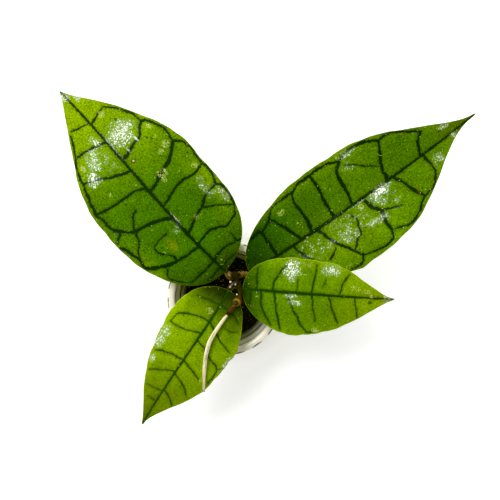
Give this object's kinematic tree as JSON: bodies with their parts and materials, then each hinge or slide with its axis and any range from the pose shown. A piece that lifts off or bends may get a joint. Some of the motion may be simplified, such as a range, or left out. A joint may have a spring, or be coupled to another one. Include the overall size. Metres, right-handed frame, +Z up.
{
  "type": "hoya callistophylla in a pot",
  "caption": "Young hoya callistophylla with large dark-netted leaves and a dried shoot, growing in a nursery pot inside a small round glazed cachepot that stands on its flat foot.",
  "frame": {"origin": "middle of the cachepot's flat foot, on the surface it stands on", "axes": "+Z up out of the pot, +X along the object's longest side towards the right leaf, +Y towards the two large leaves"},
  "size_m": [0.2925, 0.2368, 0.1052],
  "materials": {
    "cream_glaze": "glossy off-white glaze with short black brush strokes under the shoulder",
    "black_plastic": "thin glossy black plastic",
    "potting_mix": "damp dark bark and peat mix with pale specks",
    "stem_bark": "brown bark with swollen nodes",
    "dry_wood": "dry cream strand with faint brown streaks",
    "netted_leaf": "thick glossy leaf with sunken blue-black veins",
    "young_leaf": "lighter glossy leaf with thin dark veins"
  },
  "bodies": {
    "root": {"cachepot": "cream_glaze", "nursery_pot": "black_plastic", "soil": "potting_mix", "stem": "stem_bark", "dried_shoot": "dry_wood", "leaf_upper_left": "netted_leaf", "leaf_upper_right": "netted_leaf", "leaf_lower_left": "young_leaf", "leaf_right": "young_leaf"}
  },
  "joints": []
}
